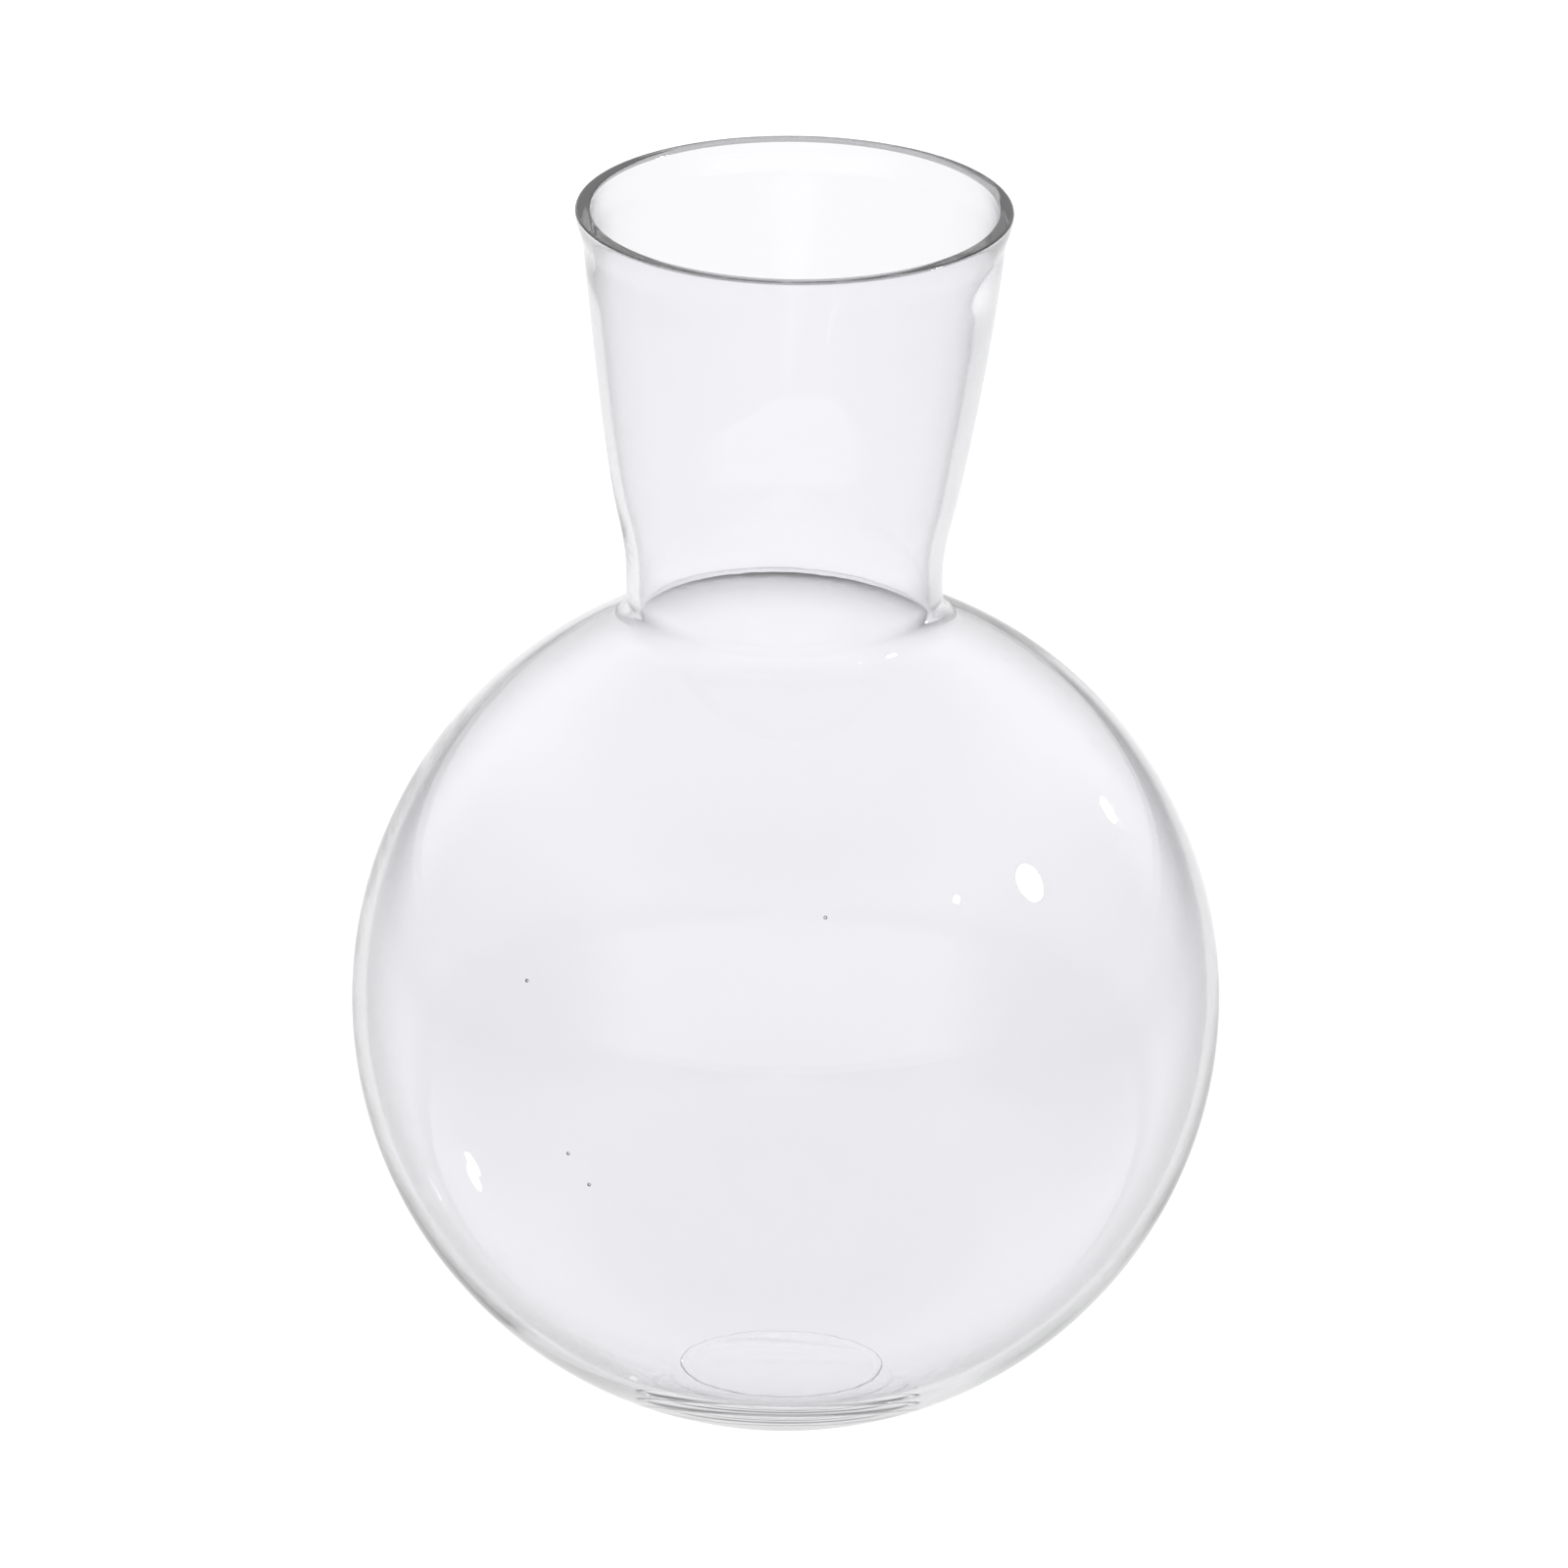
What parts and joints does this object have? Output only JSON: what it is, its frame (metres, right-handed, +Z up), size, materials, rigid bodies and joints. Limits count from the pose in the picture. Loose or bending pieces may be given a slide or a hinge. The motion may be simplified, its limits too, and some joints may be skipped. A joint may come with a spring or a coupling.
{
  "type": "round flask",
  "caption": "Clear glass flask with a round body, a wide flared neck, a flat-topped lip and a thick foot with a small flat face to stand on.",
  "frame": {"origin": "centre of the flat face under the foot, which the flask stands on", "axes": "+Z up along the axis of the body and neck, towards the mouth; +X and +Y are any two level directions, as the flask is round"},
  "size_m": [0.12, 0.12, 0.1738],
  "materials": {
    "clear_glass": "polished, colourless, fire-finished"
  },
  "bodies": {
    "root": {"thick_foot": "clear_glass", "round_body": "clear_glass", "neck_seam_ring": "clear_glass", "flared_neck": "clear_glass", "flat_lip": "clear_glass"}
  },
  "joints": []
}
